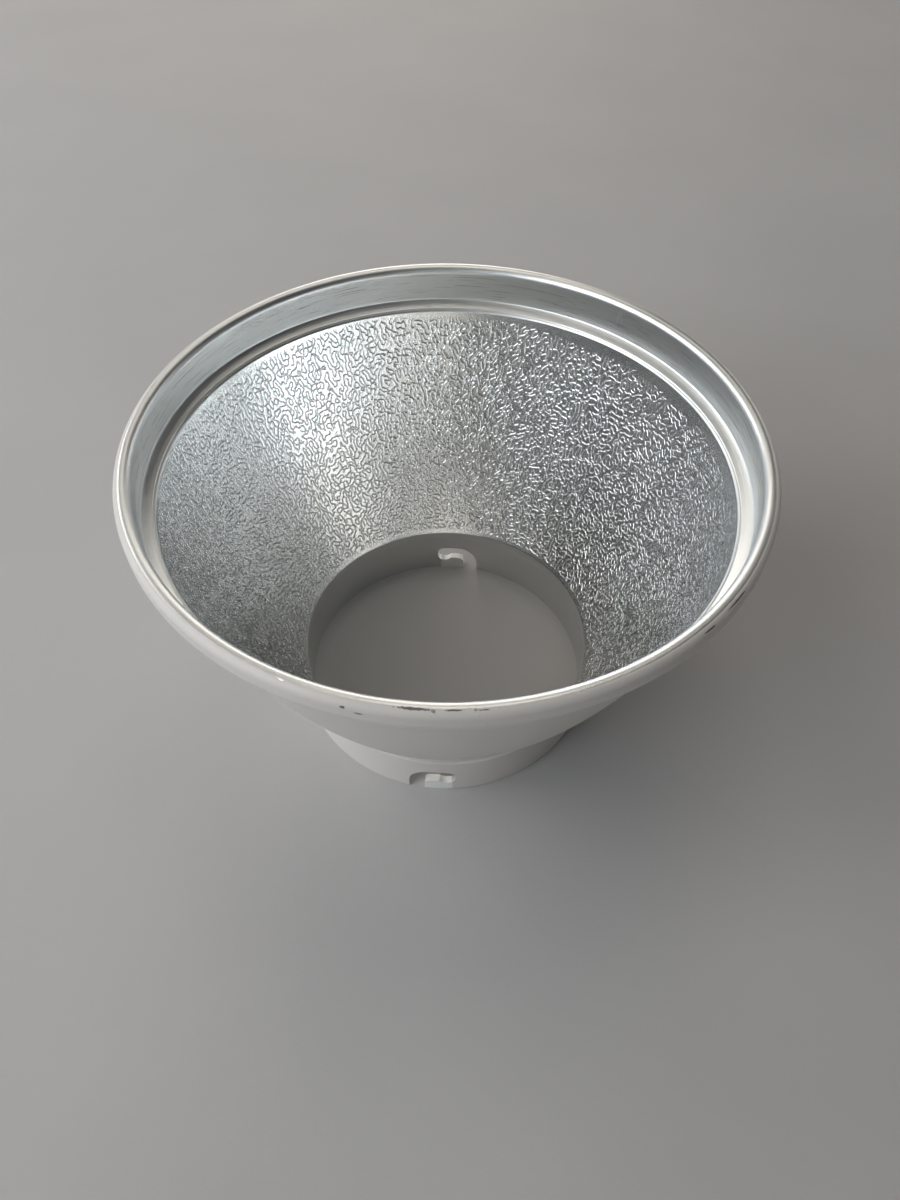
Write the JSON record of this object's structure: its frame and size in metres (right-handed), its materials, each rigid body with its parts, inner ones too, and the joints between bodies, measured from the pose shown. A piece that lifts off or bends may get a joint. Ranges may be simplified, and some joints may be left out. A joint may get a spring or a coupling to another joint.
{
  "type": "studio flash reflector",
  "caption": "Spun aluminium bowl reflector for a studio flash head, with a pebbled inside, a rolled rim and a collar with bayonet slots.",
  "frame": {"origin": "centre of the collar's bottom edge, at the lowest point of the reflector", "axes": "+Z along the axis of the reflector, from the collar towards the mouth; the collar's two bayonet hooks lie close to +Y and -Y"},
  "size_m": [0.178, 0.178, 0.1072],
  "materials": {
    "bare_aluminium": "spun sheet, pebbled and bright inside, bright rolled rim, satin light grey paint outside",
    "grey_painted_aluminium": "satin light grey paint outside, bare turned bore and slot edges"
  },
  "bodies": {
    "root": {"reflector_bowl": "bare_aluminium", "neck_collar": "grey_painted_aluminium"}
  },
  "joints": []
}
